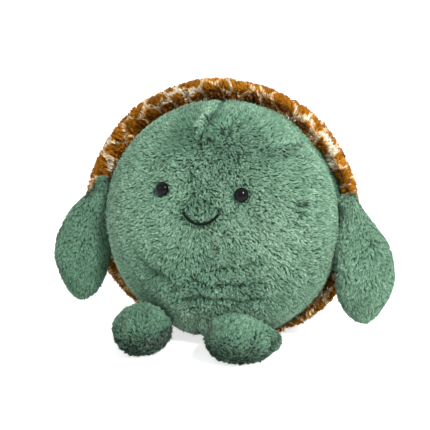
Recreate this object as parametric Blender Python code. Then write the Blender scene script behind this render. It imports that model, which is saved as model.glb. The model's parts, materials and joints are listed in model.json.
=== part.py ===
"""A plush turtle that sits upright and faces -Y, +Z up, in metres.

The round body leans back a little. Its green face dome bulges forward out of a
print shell, and two flippers and two feet are sewn to it with fabric hinges.
The origin is on the floor, under the middle of the whole toy.
"""
from math import atan2, cos, exp, hypot, pi, radians, sin, sqrt

import bmesh
import bpy
from mathutils import Matrix, Vector
from mathutils.bvhtree import BVHTree

MM = 0.001

# Fabric and fits
CLEARANCE = 0.3 * MM
SKIN = 3 * MM
CUTTER_OVERRUN = 55 * MM
FLAT_DEPTH = 0.5 * MM

# Body, measured from its centre along and across its leaning axis
BODY_RADIUS = 151 * MM
BODY_SINK = 23 * MM
SEAT_STEP = 12.5 * MM
BODY_HEIGHT = BODY_RADIUS - BODY_SINK
SEAT_RADIUS = BODY_RADIUS - SEAT_STEP
BODY_BACK = 25 * MM
LEAN = radians(10)
FACE_STEP = 20 * MM
FACE_SEAT_STEP = 2 * MM
FACE_RADIUS = BODY_RADIUS - FACE_STEP
FACE_SEAT_RADIUS = SEAT_RADIUS - FACE_SEAT_STEP
FACE_DEPTH = 97 * MM
FACE_AHEAD = 10 * MM
FACE_SEAM_STEP = 36 * MM
CREASE_AHEAD = 1 * MM
CREASE_STEP = 24 * MM
CREASE_RADIUS = BODY_RADIUS - CREASE_STEP
SHELL_SHIFT = -11.5 * MM
SHELL_BEHIND = 6 * MM
SHELL_DEPTH = 80 * MM
SHELL_SEAM_STEP = 22 * MM
RIM_PUFF = 11 * MM
SEAT_PRESS = 7 * MM
SEAT_ROLL = 12 * MM
MUZZLE_RISE = 15 * MM
MUZZLE_SPREAD = 17 * MM
MUZZLE_HEIGHT = 5 * MM
FACE_FULLNESS = 2.1
SHELL_FULLNESS = 2.3
SEAT_SHARPNESS = 6
SEAT_EASE = 2.2
SLUMP_SHARE = 0.02
BODY_SEGMENTS = 36
FACE_ROWS = 10
CREASE_ROWS = 1
RIM_ROWS = 4
BACK_ROWS = 7

# Face details, placed across (X) and up the face from the body's axis
EYE_SPREAD = 43 * MM
EYE_SHIFT = -7 * MM
EYE_RISE = 35.5 * MM
EYE_RADIUS = 7.5 * MM
EYE_BULGE = 6.5 * MM
SHANK_RADIUS = 2 * MM
SHANK_LENGTH = 9 * MM
WASHER_RADIUS = 7 * MM
WASHER_THICKNESS = 1.5 * MM
WASHER_SETBACK = 1 * MM
EYE_SEGMENTS = 12
EYE_DOME_STEPS = 5
SMILE_HALF_WIDTH = 17.5 * MM
SMILE_SHIFT = -3 * MM
SMILE_RISE = 3.5 * MM
SMILE_DEPTH = 13.5 * MM
SMILE_SLANT = 2.5 * MM
SMILE_THREAD_RADIUS = 1.2 * MM
SMILE_STEPS = 12
SMILE_FULLNESS = 2.2

# Flippers
FLIPPER_LENGTH = 137 * MM
FLIPPER_WIDTH = 67 * MM
FLIPPER_THICKNESS = 32 * MM
FLIPPER_ROOT_RADIUS = 8 * MM
FLIPPER_CURL = 22 * MM
FLIPPER_AHEAD = 26 * MM
FLIPPER_RISE = 27 * MM
FLIPPER_SPLAY = radians(21)
FLIPPER_DROOP_SHARE = 1.55
FLIPPER_TAPER_SHARE = 0.55

# Feet
FOOT_LENGTH = 105 * MM
FOOT_WIDTH = 62 * MM
FOOT_HEIGHT = 55 * MM
FOOT_HEEL_RADIUS = 13 * MM
FOOT_PRESS = 1.5 * MM
FOOT_SWING = radians(15)
FOOT_SWING_CUTS = 4
LEFT_FOOT_OUT = 61.5 * MM
LEFT_FOOT_TOE_IN = radians(38)
RIGHT_FOOT_OUT = 73 * MM
RIGHT_FOOT_TOE_IN = radians(2)
FOOT_DROOP_SHARE = 1.2
FOOT_TAPER_SHARE = 0.6

LIMB_SEGMENTS = 16
LIMB_ROWS = 12
SEEK_STEPS = 24

GREEN = (0.141, 0.262, 0.175)
DARK_GREEN = (0.110, 0.215, 0.140)
PRINT_BROWN = (0.342, 0.130, 0.017)
FILL_WHITE = (0.80, 0.79, 0.75)
BEAD_BLACK = (0.006, 0.006, 0.007)
WASHER_WHITE = (0.62, 0.62, 0.60)
THREAD_BLACK = (0.010, 0.016, 0.012)

FABRIC_ROUGHNESS = 0.95
FILL_ROUGHNESS = 1.0
BEAD_ROUGHNESS = 0.08
WASHER_ROUGHNESS = 0.5
THREAD_ROUGHNESS = 0.6

FORWARD = Vector((0, -cos(LEAN), sin(LEAN)))
UPWARD = Vector((0, sin(LEAN), cos(LEAN)))
ACROSS = Vector((1, 0, 0))
FLOOR_UP = Vector((0, 0, 1))
BODY_CENTRE = Vector((0, BODY_BACK, BODY_HEIGHT))
LEANING = Matrix((ACROSS, FORWARD, UPWARD)).transposed().to_4x4()


def clear_scene():
    """Remove every object that the file starts with."""
    for thing in list(bpy.data.objects):
        bpy.data.objects.remove(thing, do_unlink=True)


def new_collection(name):
    group = bpy.data.collections.new(name)
    bpy.context.scene.collection.children.link(group)
    return group


def new_material(name, colour, roughness):
    material = bpy.data.materials.new(name)
    material.use_nodes = True
    shader = material.node_tree.nodes["Principled BSDF"]
    shader.inputs["Base Color"].default_value = (*colour, 1)
    shader.inputs["Roughness"].default_value = roughness
    shader.inputs["Metallic"].default_value = 0
    return material


def body_frame_point(across, ahead, rise):
    """A point given across, ahead along and up from the body's leaning axis."""
    return BODY_CENTRE + ACROSS * across + FORWARD * ahead + UPWARD * rise


def mix(low, high, share):
    return low + (high - low) * share


def dome(share, radius, depth, fullness):
    """Radius and depth of a full dome, from its apex (share 0) to its rim (share 1)."""
    angle = share * pi / 2
    power = 2 / fullness
    return radius * sin(angle) ** power, depth * max(cos(angle), 0) ** power


def seated(radius, seat_radius, turn):
    """A radius of the body that changes near its seat, at an angle from its top."""
    return mix(radius, seat_radius, ((1 - cos(turn)) / 2) ** SEAT_SHARPNESS)


def crease_radius(turn):
    """Radius of the crease between the gusset and the shell."""
    return seated(CREASE_RADIUS, SEAT_RADIUS, turn)


def slumped(radius, turn):
    """Across and up from the axis, on a body that its own weight makes wider than tall."""
    return radius * sin(turn) * (1 + SLUMP_SHARE), radius * cos(turn) * (1 - SLUMP_SHARE)


def body_profile(row, turn):
    """Radius and place along the axis of one row of the body, at an angle from its top."""
    face_radius = seated(FACE_RADIUS, FACE_SEAT_RADIUS, turn)
    shell_radius = seated(BODY_RADIUS, SEAT_RADIUS, turn)
    crease = crease_radius(turn)
    if row <= FACE_ROWS:
        radius, depth = dome(row / FACE_ROWS, face_radius, FACE_DEPTH, FACE_FULLNESS)
        return radius, FACE_AHEAD + depth
    row -= FACE_ROWS
    if row <= CREASE_ROWS:
        share = row / CREASE_ROWS
        return mix(face_radius, crease, share), mix(FACE_AHEAD, CREASE_AHEAD, share)
    row -= CREASE_ROWS
    if row <= RIM_ROWS:
        share = row / RIM_ROWS
        roll_share = (shell_radius - crease) / (BODY_RADIUS - CREASE_RADIUS)
        puff = RIM_PUFF * roll_share**2
        ahead = mix(CREASE_AHEAD, -SHELL_BEHIND, share)
        return mix(crease, shell_radius, sin(share * pi / 2)), ahead + puff * sin(pi * share)
    share = 1 - (row - RIM_ROWS) / BACK_ROWS
    radius, depth = dome(share, shell_radius, SHELL_DEPTH, SHELL_FULLNESS)
    return radius, -SHELL_BEHIND - depth


def shell_shift(row):
    """How far the stuffed shell has settled sideways against the face, row by row."""
    return SHELL_SHIFT * min(max((row - FACE_ROWS - CREASE_ROWS) / RIM_ROWS, 0), 1)


def muzzle(across, rise):
    """How far the muzzle swells forward there."""
    reach = hypot(across - SMILE_SHIFT, rise - MUZZLE_RISE) / MUZZLE_SPREAD
    return MUZZLE_HEIGHT * exp(-reach * reach / 2)


def pressed(height, press, roll):
    """The height of a point of a soft form that its own weight presses on the floor."""
    if height >= roll:
        return height
    share = max((height + press) / (roll + press), 0)
    return max(roll * share**SEAT_EASE - FLAT_DEPTH, 0)


def unit_sphere(segments, rows):
    ball = bmesh.new()
    bmesh.ops.create_uvsphere(ball, u_segments=segments, v_segments=rows, radius=1)
    return ball


def finish_mesh(ball, name):
    bmesh.ops.triangulate(ball, faces=ball.faces)
    bmesh.ops.recalc_face_normals(ball, faces=ball.faces)
    mesh = bpy.data.meshes.new(name)
    ball.to_mesh(mesh)
    ball.free()
    mesh.shade_smooth()
    return mesh


def body_mesh():
    """The outside of the sewn body: a sphere whose rows follow the body's profile."""
    rows = FACE_ROWS + CREASE_ROWS + RIM_ROWS + BACK_ROWS
    ball = unit_sphere(BODY_SEGMENTS, rows)
    for vert in ball.verts:
        row = round(atan2(hypot(vert.co.x, vert.co.y), vert.co.z) / pi * rows)
        turn = atan2(vert.co.x, vert.co.y)
        radius, ahead = body_profile(row, turn)
        across, rise = slumped(radius, turn)
        if row < FACE_ROWS:
            ahead += muzzle(across, rise)
        across += shell_shift(row)
        vert.co = body_frame_point(across, ahead, rise)
        vert.co.z = pressed(vert.co.z, SEAT_PRESS, SEAT_ROLL)
    return finish_mesh(ball, "body_form")


def limb_half_width(run, length, root, width, droop, taper):
    """Half width of a teardrop limb at a run from its root's end."""
    if run < root:
        return sqrt(max(run * (2 * root - run), 0))
    swell = sin(pi * min(run / length, 1) ** droop)
    half = width / 2 * max(swell, 0) ** taper
    return max(half, root) if run < length / 2 else half


def limb_mesh(name, sizes, place, stands=False):
    """A teardrop from its round root at the place's origin out along the place's X.

    The root is a ball about the hinge, so that it keeps its gap as the limb turns.
    The rest may curl towards the place's Y.
    """
    length, width, thickness, root, droop, taper, curl = sizes
    ball = unit_sphere(LIMB_SEGMENTS, LIMB_ROWS)
    for vert in ball.verts:
        run = length * (1 - vert.co.z) / 2
        turn = atan2(vert.co.x, vert.co.y)
        half = limb_half_width(run, length, root, width, droop, taper)
        flatness = mix(1, thickness / width, min(max((run - root) / root, 0), 1))
        bend = curl * (max(run - root, 0) / (length - root)) ** 2
        local = Vector((run - root, bend + half * cos(turn), half * flatness * sin(turn)))
        vert.co = place @ local
        if stands:
            vert.co.z = max(vert.co.z, 0)
    return finish_mesh(ball, name)


def offset_mesh(source, name, distance):
    """A copy of a mesh with every vertex moved out along its normal."""
    grown = bmesh.new()
    grown.from_mesh(source)
    grown.normal_update()
    for vert, normal in [(v, v.normal.copy()) for v in grown.verts]:
        vert.co += normal * distance
    return finish_mesh(grown, name)


def make_cutter(name, mesh):
    cutter = bpy.data.objects.new(name, mesh)
    cutters.objects.link(cutter)
    cutter.hide_render = True
    cutter.display_type = "WIRE"
    return cutter


def cut(thing, cutter, operation="DIFFERENCE"):
    """Add one exact Boolean to an object."""
    modifier = thing.modifiers.new(cutter.name, "BOOLEAN")
    modifier.operation = operation
    modifier.solver = "EXACT"
    modifier.object = cutter


def slab(name, low, high, place):
    """A box cutter between two corners, in the frame of a place."""
    box = bmesh.new()
    bmesh.ops.create_cube(box, size=1)
    size = Vector(high) - Vector(low)
    middle = (Vector(high) + Vector(low)) / 2
    for vert in box.verts:
        vert.co = place @ (Vector(corner * edge for corner, edge in zip(vert.co, size)) + middle)
    return make_cutter(name, finish_mesh(box, name))


def make_piece(name, mesh, material, parent, cuts=()):
    """One sub-part with its own material, cut by the given cutters."""
    piece = bpy.data.objects.new(name, mesh)
    turtle.objects.link(piece)
    piece.data.materials.append(material)
    piece.parent = parent
    piece.matrix_parent_inverse = parent.matrix_world.inverted()
    for cutter in cuts:
        cut(piece, cutter)
    return piece


def make_empty(name, place):
    empty = bpy.data.objects.new(name, None)
    turtle.objects.link(empty)
    empty.matrix_world = place
    return empty


def surface_of(mesh):
    """A search tree of a mesh, for finding its surface."""
    shape = bmesh.new()
    shape.from_mesh(mesh)
    tree = BVHTree.FromBMesh(shape)
    shape.free()
    return tree


def face_point(tree, across, rise):
    """The point of the face and its outward normal, straight ahead of a place on it."""
    start = body_frame_point(across, FACE_AHEAD + FACE_DEPTH + CUTTER_OVERRUN, rise)
    hit, normal, _, _ = tree.ray_cast(start, -FORWARD)
    return hit, normal


def seat_ball(tree, start, direction, radius):
    """Move a ball out from inside the body until it just clears the body's surface."""
    near, far = 0, BODY_RADIUS + radius
    for _ in range(SEEK_STEPS):
        middle = (near + far) / 2
        centre = start + direction * middle
        point, normal, _, distance = tree.find_nearest(centre)
        outside = (centre - point).dot(normal) > 0
        if outside and distance > radius + CLEARANCE:
            far = middle
        else:
            near = middle
    return start + direction * far


def grid_place(origin, along, side):
    """A frame at an origin with its X along one direction and its Y near another."""
    third = along.cross(side).normalized()
    second = third.cross(along).normalized()
    place = Matrix((along, second, third)).transposed().to_4x4()
    place.translation = origin
    return place


def body_place():
    """The body's leaning frame, with X across, Y ahead and Z up."""
    place = LEANING.copy()
    place.translation = BODY_CENTRE
    return place


def seam_slabs(place):
    """Cutters that part the body's skins along their seams, half a gap to each side."""
    gap = CLEARANCE / 2
    far = BODY_RADIUS + CUTTER_OVERRUN
    face_seam = FACE_AHEAD + FACE_SEAM_STEP
    back_seam = -SHELL_BEHIND - SHELL_SEAM_STEP
    wide = {
        "behind_face": (-far, face_seam + gap),
        "ahead_of_gusset": (face_seam - gap, far),
        "behind_rim": (-far, back_seam + gap),
        "ahead_of_back": (back_seam - gap, far),
    }
    slabs = {
        name: slab(name, (-far, low, -far), (far, high, far), place)
        for name, (low, high) in wide.items()
    }
    slabs["left_half"] = slab("left_half", (-gap, -far, -far), (far, far, far), place)
    slabs["right_half"] = slab("right_half", (-far, -far, -far), (gap, far, far), place)
    return slabs


def crease_cone(name, gap):
    """A cone that opens ahead through the crease, between the gusset and the rim's roll."""
    cone = bmesh.new()
    bmesh.ops.create_cone(
        cone, cap_ends=True, segments=BODY_SEGMENTS, radius1=1, radius2=1, depth=2
    )
    for vert in cone.verts:
        turn = atan2(vert.co.x, vert.co.y)
        run = CUTTER_OVERRUN if vert.co.z > 0 else -2 * SKIN
        across, rise = slumped(crease_radius(turn) + run + gap * sqrt(2), turn)
        vert.co = body_frame_point(across, CREASE_AHEAD + run, rise)
    return make_cutter(name, finish_mesh(cone, name))


def turned(name, profile, place, segments):
    """A solid turned about the place's Z from a closed run of radius and height points."""
    rings = bmesh.new()
    verts = [rings.verts.new((radius, 0, height)) for radius, height in profile]
    edges = [rings.edges.new(pair) for pair in zip(verts, verts[1:])]
    bmesh.ops.spin(
        rings,
        geom=verts + edges,
        axis=FLOOR_UP,
        cent=(0, 0, 0),
        angle=2 * pi,
        steps=segments,
        use_merge=True,
    )
    bmesh.ops.remove_doubles(rings, verts=rings.verts, dist=CLEARANCE / 10)
    bmesh.ops.transform(rings, matrix=place, verts=rings.verts)
    return finish_mesh(rings, name)


def eye_profile(grow, flange=()):
    """Bead dome, flat back and shank, from the front tip to the shank's end."""
    points = []
    for step in range(EYE_DOME_STEPS + 1):
        angle = step / EYE_DOME_STEPS * pi / 2
        points.append(((EYE_RADIUS + grow) * sin(angle), (EYE_BULGE + grow) * cos(angle)))
    points.append((EYE_RADIUS + grow, -SKIN / 4 - grow))
    points.append((SHANK_RADIUS + grow, -SKIN / 4 - grow))
    points.extend(flange)
    points.append((SHANK_RADIUS + grow, -SHANK_LENGTH - grow))
    points.append((0, -SHANK_LENGTH - grow))
    return points


def washer_profile(grow):
    """A flat ring round the shank, behind the fabric."""
    top = -SKIN - WASHER_SETBACK + grow
    bottom = top - WASHER_THICKNESS - 2 * grow
    hole = SHANK_RADIUS + CLEARANCE
    rim = WASHER_RADIUS + grow
    return [(hole, top), (rim, top), (rim, bottom), (hole, bottom)]


def make_eyes(tree, torso):
    """Bead eyes with shanks and washers. Gives the cutters for the face and the fill."""
    bead = new_material("bead_black", BEAD_BLACK, BEAD_ROUGHNESS)
    nylon = new_material("washer_white", WASHER_WHITE, WASHER_ROUGHNESS)
    ring_section = washer_profile(0)
    holes, beds = [], []
    for side, sign in (("left", 1), ("right", -1)):
        centre, normal = face_point(tree, sign * EYE_SPREAD + EYE_SHIFT, EYE_RISE)
        place = normal.to_track_quat("Z", "Y").to_matrix().to_4x4()
        place.translation = centre
        eye = turned(side + "_eye", eye_profile(0), place, EYE_SEGMENTS)
        make_piece(side + "_eye", eye, bead, torso)
        ring = turned(side + "_eye_washer", ring_section + ring_section[:1], place, EYE_SEGMENTS)
        make_piece(side + "_eye_washer", ring, nylon, torso)
        hole = turned(side + "_eye_hole", eye_profile(CLEARANCE), place, EYE_SEGMENTS)
        holes.append(make_cutter(side + "_eye_hole", hole))
        flanged = eye_profile(CLEARANCE, washer_profile(CLEARANCE))
        bed = turned(side + "_eye_bed", flanged, place, EYE_SEGMENTS)
        beds.append(make_cutter(side + "_eye_bed", bed))
    return holes, beds


def make_smile(tree, torso):
    """The embroidered mouth: a thread laid on the face in a shallow bowl."""
    curve = bpy.data.curves.new("smile_thread", "CURVE")
    curve.dimensions = "3D"
    curve.bevel_depth = SMILE_THREAD_RADIUS
    curve.bevel_resolution = 1
    curve.use_fill_caps = True
    spline = curve.splines.new("POLY")
    spline.points.add(SMILE_STEPS)
    for step, point in enumerate(spline.points):
        share = 2 * step / SMILE_STEPS - 1
        across = SMILE_HALF_WIDTH * share + SMILE_SHIFT
        rise = SMILE_RISE + SMILE_DEPTH * abs(share) ** SMILE_FULLNESS + SMILE_SLANT * share
        hit, normal = face_point(tree, across, rise)
        lift = SMILE_THREAD_RADIUS + 2 * CLEARANCE
        point.co = (*(hit + normal * lift), 1)
    thread = bpy.data.objects.new("smile_thread", curve)
    turtle.objects.link(thread)
    curve.materials.append(new_material("thread_black", THREAD_BLACK, THREAD_ROUGHNESS))
    thread.parent = torso


def make_body(torso):
    """Face, gusset and shell skins over one body of stuffing. Gives the body's outside."""
    place = body_place()
    outside = body_mesh()
    tree = surface_of(outside)
    inside = make_cutter("body_inside", offset_mesh(outside, "body_inside", -SKIN))
    slabs = seam_slabs(place)
    within_crease = crease_cone("within_crease", -CLEARANCE / 2)
    ahead_of_rim = crease_cone("ahead_of_rim", CLEARANCE / 2)
    holes, beds = make_eyes(tree, torso)
    skins = {
        "face_panel": (GREEN, [slabs["behind_face"], *holes]),
        "side_gusset": (DARK_GREEN, [slabs["ahead_of_gusset"]]),
        "shell_rim": (PRINT_BROWN, [slabs["ahead_of_gusset"], ahead_of_rim, slabs["behind_rim"]]),
        "shell_back_left": (PRINT_BROWN, [slabs["ahead_of_back"], slabs["right_half"]]),
        "shell_back_right": (PRINT_BROWN, [slabs["ahead_of_back"], slabs["left_half"]]),
    }
    for name, (colour, seams) in skins.items():
        plush = new_material(name + "_plush", colour, FABRIC_ROUGHNESS)
        skin = make_piece(name, outside.copy(), plush, torso, [inside, *seams])
        if name == "side_gusset":
            cut(skin, within_crease, "INTERSECT")
    fill = offset_mesh(outside, "body_stuffing", -SKIN - CLEARANCE)
    fibre = new_material("body_fibre", FILL_WHITE, FILL_ROUGHNESS)
    make_piece("body_stuffing", fill, fibre, torso, beds)
    make_smile(tree, torso)
    return outside, tree


def make_limb(names, sizes, place, hinge, body_cuts, stands=False):
    """Two skins and a stuffing of one limb, cut back where the body is."""
    outside = limb_mesh(names[0], sizes, place, stands)
    inside = make_cutter(names[2] + "_inside", offset_mesh(outside, names[2], -SKIN))
    for cutter in body_cuts["inside"]:
        cut(inside, cutter)
    gap = CLEARANCE / 2
    far = sizes[0] + CUTTER_OVERRUN
    upper = slab(names[0] + "_half", (-far, -far, -far), (far, far, gap), place)
    lower = slab(names[1] + "_half", (-far, -far, -gap), (far, far, far), place)
    for name, half in zip(names, (upper, lower)):
        plush = new_material(name + "_plush", GREEN, FABRIC_ROUGHNESS)
        make_piece(name, outside.copy(), plush, hinge, [*body_cuts["skin"], inside, half])
    fill = offset_mesh(outside, names[2], -SKIN - CLEARANCE)
    fibre = new_material(names[2] + "_fibre", FILL_WHITE, FILL_ROUGHNESS)
    make_piece(names[2], fill, fibre, hinge, body_cuts["fill"])


def swung_body_cuts(outside, tag, turns, hinge_point, axis):
    """The body's outside, swung the other way about a limb's hinge, as cutters."""
    depths = {
        "skin": CLEARANCE,
        "inside": CLEARANCE + SKIN,
        "fill": CLEARANCE + SKIN + CLEARANCE,
    }
    cuts = {layer: [] for layer in depths}
    for number, turn in enumerate(turns):
        swing = Matrix.Translation(hinge_point) @ Matrix.Rotation(-turn, 4, axis)
        swing = swing @ Matrix.Translation(-hinge_point)
        for layer, depth in depths.items():
            name = f"{tag}_{layer}_cut_{number}"
            mesh = offset_mesh(outside, name, depth)
            mesh.transform(swing)
            cuts[layer].append(make_cutter(name, mesh))
    return cuts


def make_flippers(outside, tree, torso):
    """Teardrop flippers that hang from round roots at the shoulders."""
    sizes = (
        FLIPPER_LENGTH,
        FLIPPER_WIDTH,
        FLIPPER_THICKNESS,
        FLIPPER_ROOT_RADIUS,
        FLIPPER_DROOP_SHARE,
        FLIPPER_TAPER_SHARE,
        FLIPPER_CURL,
    )
    for side, sign in (("left", 1), ("right", -1)):
        start = body_frame_point(0, FLIPPER_AHEAD, FLIPPER_RISE)
        root = seat_ball(tree, start, ACROSS * sign, FLIPPER_ROOT_RADIUS)
        along = ACROSS * sign * sin(FLIPPER_SPLAY) - UPWARD * cos(FLIPPER_SPLAY)
        place = grid_place(root, along, ACROSS * -sign)
        hinge = make_empty(side + "_flipper_hinge", Matrix.Translation(root))
        hinge.parent = torso
        cuts = swung_body_cuts(outside, side + "_flipper", (0,), root, FORWARD)
        faces = ("back", "front") if sign > 0 else ("front", "back")
        names = [f"{side}_flipper_{face}" for face in (*faces, "stuffing")]
        make_limb(names, sizes, place, hinge, cuts)
        print(side, "flipper hinge", tuple(root), tuple(FORWARD * sign))


def make_feet(outside, tree, torso):
    """Stuffed feet that turn on their heels under the belly."""
    sizes = (
        FOOT_LENGTH,
        FOOT_WIDTH,
        FOOT_HEIGHT,
        FOOT_HEEL_RADIUS,
        FOOT_DROOP_SHARE,
        FOOT_TAPER_SHARE,
        0,
    )
    feet = (
        ("left", 1, LEFT_FOOT_OUT, LEFT_FOOT_TOE_IN),
        ("right", -1, RIGHT_FOOT_OUT, RIGHT_FOOT_TOE_IN),
    )
    climb = (FOOT_HEIGHT / 2 - FOOT_HEEL_RADIUS) / (FOOT_LENGTH / 2)
    turns = [mix(-FOOT_SWING, FOOT_SWING, n / FOOT_SWING_CUTS) for n in range(FOOT_SWING_CUTS + 1)]
    for side, sign, out, toe_in in feet:
        start = Vector((sign * out, 0, FOOT_HEEL_RADIUS - FOOT_PRESS))
        heel = seat_ball(tree, start, Vector((0, -1, 0)), FOOT_HEEL_RADIUS)
        along = Vector((-sign * sin(toe_in), -cos(toe_in), climb)).normalized()
        place = grid_place(heel, along, FLOOR_UP.cross(along))
        hinge = make_empty(side + "_foot_hinge", Matrix.Translation(heel))
        hinge.parent = torso
        cuts = swung_body_cuts(outside, side + "_foot", turns, heel, FLOOR_UP)
        names = [f"{side}_foot_{face}" for face in ("top", "sole", "stuffing")]
        make_limb(names, sizes, place, hinge, cuts, stands=True)
        print(side, "foot hinge", tuple(heel))


clear_scene()
turtle = new_collection("plush_turtle")
cutters = new_collection("cutters")
torso_frame = make_empty("torso_frame", Matrix.Identity(4))
body_outside, body_tree = make_body(torso_frame)
make_flippers(body_outside, body_tree, torso_frame)
make_feet(body_outside, body_tree, torso_frame)
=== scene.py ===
import json
from math import cos, pi, radians, sin

import bpy
import numpy as np
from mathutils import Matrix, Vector
from mathutils.bvhtree import BVHTree


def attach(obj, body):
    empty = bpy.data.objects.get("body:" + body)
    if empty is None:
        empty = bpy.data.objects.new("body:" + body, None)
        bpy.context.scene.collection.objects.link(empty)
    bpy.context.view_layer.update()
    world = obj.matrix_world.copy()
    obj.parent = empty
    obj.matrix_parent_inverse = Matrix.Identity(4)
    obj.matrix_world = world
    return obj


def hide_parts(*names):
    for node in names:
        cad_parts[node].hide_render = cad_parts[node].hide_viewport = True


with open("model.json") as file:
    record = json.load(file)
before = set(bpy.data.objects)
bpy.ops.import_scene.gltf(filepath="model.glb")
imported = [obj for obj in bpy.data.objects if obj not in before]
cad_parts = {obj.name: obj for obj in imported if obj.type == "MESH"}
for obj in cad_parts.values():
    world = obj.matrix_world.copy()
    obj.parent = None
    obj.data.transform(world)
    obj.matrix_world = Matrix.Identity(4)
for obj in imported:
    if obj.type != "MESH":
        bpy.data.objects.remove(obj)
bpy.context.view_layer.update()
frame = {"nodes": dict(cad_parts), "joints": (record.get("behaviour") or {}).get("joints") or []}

# Shapes are worked out in millimetres, and the stage and the camera in metres
MM = 0.001
TUFT_POINTS = 4  # root, two sides and tip
ROOT_DEPTH = 0.4  # how far below the cloth a tuft starts
FLOOR_GAP = 0.2
POLE = 0.02  # how many rows short of its ends the body's grid stops
END_ANGLE = 0.03  # how far short of its ends a limb's grid stops, in radians
BAKE_PIXELS = 1024
RUN_SAMPLES, SEAM_SAMPLES = 2201, 1201
WAVES, WAVE_REACH = 5, 2.2  # how many waves make a smooth noise, and about where they reach
MOST_COLUMNS = 4096  # more than a grid of clumps has

# The sewn body, in millimetres, as its CAD solids have it
BODY_RADIUS, FACE_RADIUS, CREASE_RADIUS = 151, 131, 127
SEAT_RADIUS, FACE_SEAT_RADIUS = 138.5, 136.5
FACE_DEPTH, FACE_AHEAD, CREASE_AHEAD = 97, 10, 1
SHELL_BEHIND, SHELL_DEPTH, RIM_PUFF, SHELL_SHIFT = 6, 80, 11, -11.5
MUZZLE_SPREAD, MUZZLE_HEIGHT = 17, 5
MUZZLE_ACROSS, MUZZLE_RISE = -3, 15
FACE_FULLNESS, SHELL_FULLNESS = 2.1, 2.3
SEAT_PRESS, SEAT_ROLL, FLAT_DEPTH, SEAT_EASE = 7, 12, 0.5, 2.2
SLUMP = 0.02
SIDE_SLACK, SIDE_SWELL, LEFT_BULGE, RIGHT_HOLLOW = 9, 10, 6, 5
FACE_ROWS, CREASE_ROW, RIM_ROW, LAST_ROW = 10, 11, 15, 22
FACE_SEAM_AHEAD, BACK_SEAM_BEHIND = 46, 28
LEAN = radians(10)
FORWARD = np.array((0, -cos(LEAN), sin(LEAN)))
UPWARD = np.array((0, sin(LEAN), cos(LEAN)))
ACROSS = np.array((1.0, 0, 0))
BODY_CENTRE = np.array((0, 25, 128.0))


def mix(low, high, share):
    return low + (high - low) * share


def unit(vectors):
    return vectors / np.maximum(np.linalg.norm(vectors, axis=-1, keepdims=True), 1e-9)


def hump(across, up, wide, high):
    """A smooth hump of 1 over an oval, for offsets from its middle."""
    return np.exp(-((across / wide) ** 2 + (up / high) ** 2))


def dome(share, radius, depth, fullness):
    """Radius and height at each share of the way from a dome's top to its edge."""
    angle = np.clip(share, 0, 1) * pi / 2
    return (
        radius * np.sin(angle) ** (2 / fullness),
        depth * np.clip(np.cos(angle), 0, 1) ** (2 / fullness),
    )


def body_profile(row, turn):
    """Radius and distance ahead of the body's axis point, for arrays of rows and turns."""
    seat = ((1 - np.cos(turn)) / 2) ** 6
    face = mix(FACE_RADIUS, FACE_SEAT_RADIUS, seat)
    crease = mix(CREASE_RADIUS, SEAT_RADIUS, seat)
    shell = mix(BODY_RADIUS, SEAT_RADIUS, seat)
    radius, ahead = dome(row / FACE_ROWS, face, FACE_DEPTH, FACE_FULLNESS)
    ahead = ahead + FACE_AHEAD
    share = np.clip(row - FACE_ROWS, 0, 1)
    radius = np.where(row > FACE_ROWS, mix(face, crease, share), radius)
    ahead = np.where(row > FACE_ROWS, mix(FACE_AHEAD, CREASE_AHEAD, share), ahead)
    share = np.clip((row - CREASE_ROW) / (RIM_ROW - CREASE_ROW), 0, 1)
    puff = RIM_PUFF * ((shell - crease) / (BODY_RADIUS - CREASE_RADIUS)) ** 2
    rolled = mix(CREASE_AHEAD, -SHELL_BEHIND, share) + puff * np.sin(pi * share)
    radius = np.where(row > CREASE_ROW, mix(crease, shell, np.sin(share * pi / 2)), radius)
    ahead = np.where(row > CREASE_ROW, rolled, ahead)
    share = 1 - (row - RIM_ROW) / (LAST_ROW - RIM_ROW)
    back_radius, back_depth = dome(share, shell, SHELL_DEPTH, SHELL_FULLNESS)
    radius = np.where(row > RIM_ROW, back_radius, radius)
    ahead = np.where(row > RIM_ROW, -SHELL_BEHIND - back_depth, ahead)
    return radius, ahead


def body_form(row, turn):
    """Points of the body's outside, and their places across and up from its axis."""
    radius, ahead = body_profile(row, turn)
    across = radius * np.sin(turn) * (1 + SLUMP)
    rise = radius * np.cos(turn) * (1 - SLUMP)
    reach = ((across - MUZZLE_ACROSS) ** 2 + (rise - MUZZLE_RISE) ** 2) / MUZZLE_SPREAD**2
    ahead = ahead + np.where(row < FACE_ROWS, MUZZLE_HEIGHT * np.exp(-reach / 2), 0)
    shift = SHELL_SHIFT * np.clip((row - CREASE_ROW) / (RIM_ROW - CREASE_ROW), 0, 1)
    points = (
        BODY_CENTRE
        + (across + shift)[..., None] * ACROSS
        + ahead[..., None] * FORWARD
        + rise[..., None] * UPWARD
    )
    height = points[..., 2]
    share = np.clip((height + SEAT_PRESS) / (SEAT_ROLL + SEAT_PRESS), 0, 1)
    pressed = np.maximum(SEAT_ROLL * share**SEAT_EASE - FLAT_DEPTH, 0)
    points[..., 2] = np.where(height < SEAT_ROLL, pressed, height)
    return points, across, rise


def run_of_rows():
    """Arc length from the face's middle to each row, on the body's side."""
    rows = np.linspace(0, LAST_ROW, RUN_SAMPLES)
    points = body_form(rows, np.full(rows.shape, pi / 2))[0]
    steps = np.linalg.norm(np.diff(points, axis=0), axis=1)
    return rows, np.concatenate(([0], np.cumsum(steps)))


ROWS, RUNS = run_of_rows()


def row_where(low, high, ahead):
    """The row between two others at which the body's side is that far ahead."""
    rows = np.linspace(low, high, SEAM_SAMPLES)
    found = body_profile(rows, np.full(rows.shape, pi / 2))[1]
    return float(rows[np.argmin(np.abs(found - ahead))])


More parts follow.
